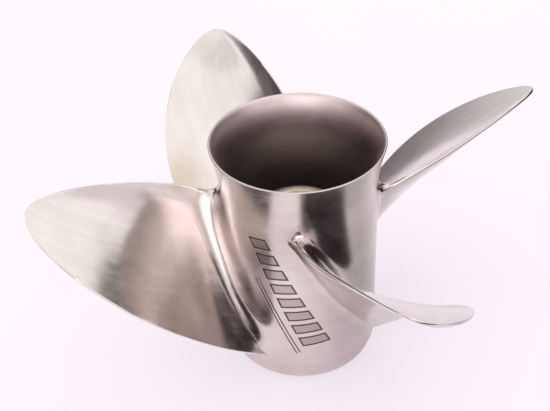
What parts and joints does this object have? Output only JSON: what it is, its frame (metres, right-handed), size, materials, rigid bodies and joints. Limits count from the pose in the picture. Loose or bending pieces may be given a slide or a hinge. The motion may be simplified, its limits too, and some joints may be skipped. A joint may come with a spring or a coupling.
{
  "type": "boat propeller",
  "caption": "Left-hand outboard boat propeller with raked, cupped blades on a flared exhaust barrel and a splined, torsionally sprung drive hub.",
  "frame": {"origin": "centre of the barrel's front edge, on the shaft axis, where the propeller stands", "axes": "+Z along the shaft axis, pointing aft to the flared exhaust end; +X and +Y across the shaft, with the blades at 29, 119, 209 and 299 degrees from +X at the root"},
  "size_m": [0.3438, 0.3438, 0.1763],
  "materials": {
    "casting": "polished stainless steel casting with a fine satin grain",
    "sleeve": "moulded cream plastic",
    "adapter": "machined pale bronze",
    "washer": "machined brass"
  },
  "bodies": {
    "drive_core": {"drive_adapter": "adapter", "thrust_washer": "washer"},
    "casting": {"barrel": "casting", "diffuser_ring": "casting", "inner_hub": "casting", "rib_1": "casting", "rib_2": "casting", "rib_3": "casting", "rib_4": "casting", "blade_1": "casting", "blade_2": "casting", "blade_3": "casting", "blade_4": "casting", "drive_sleeve": "sleeve"}
  },
  "joints": [
    {"name": "hub_twist", "type": "hinge", "parent": "drive_core", "child": "casting", "pos_m": [0, 0, 0.06], "axis": [0, 0, 1], "range_deg": [-5, 5], "stiffness_Nm_per_rad": 400}
  ]
}
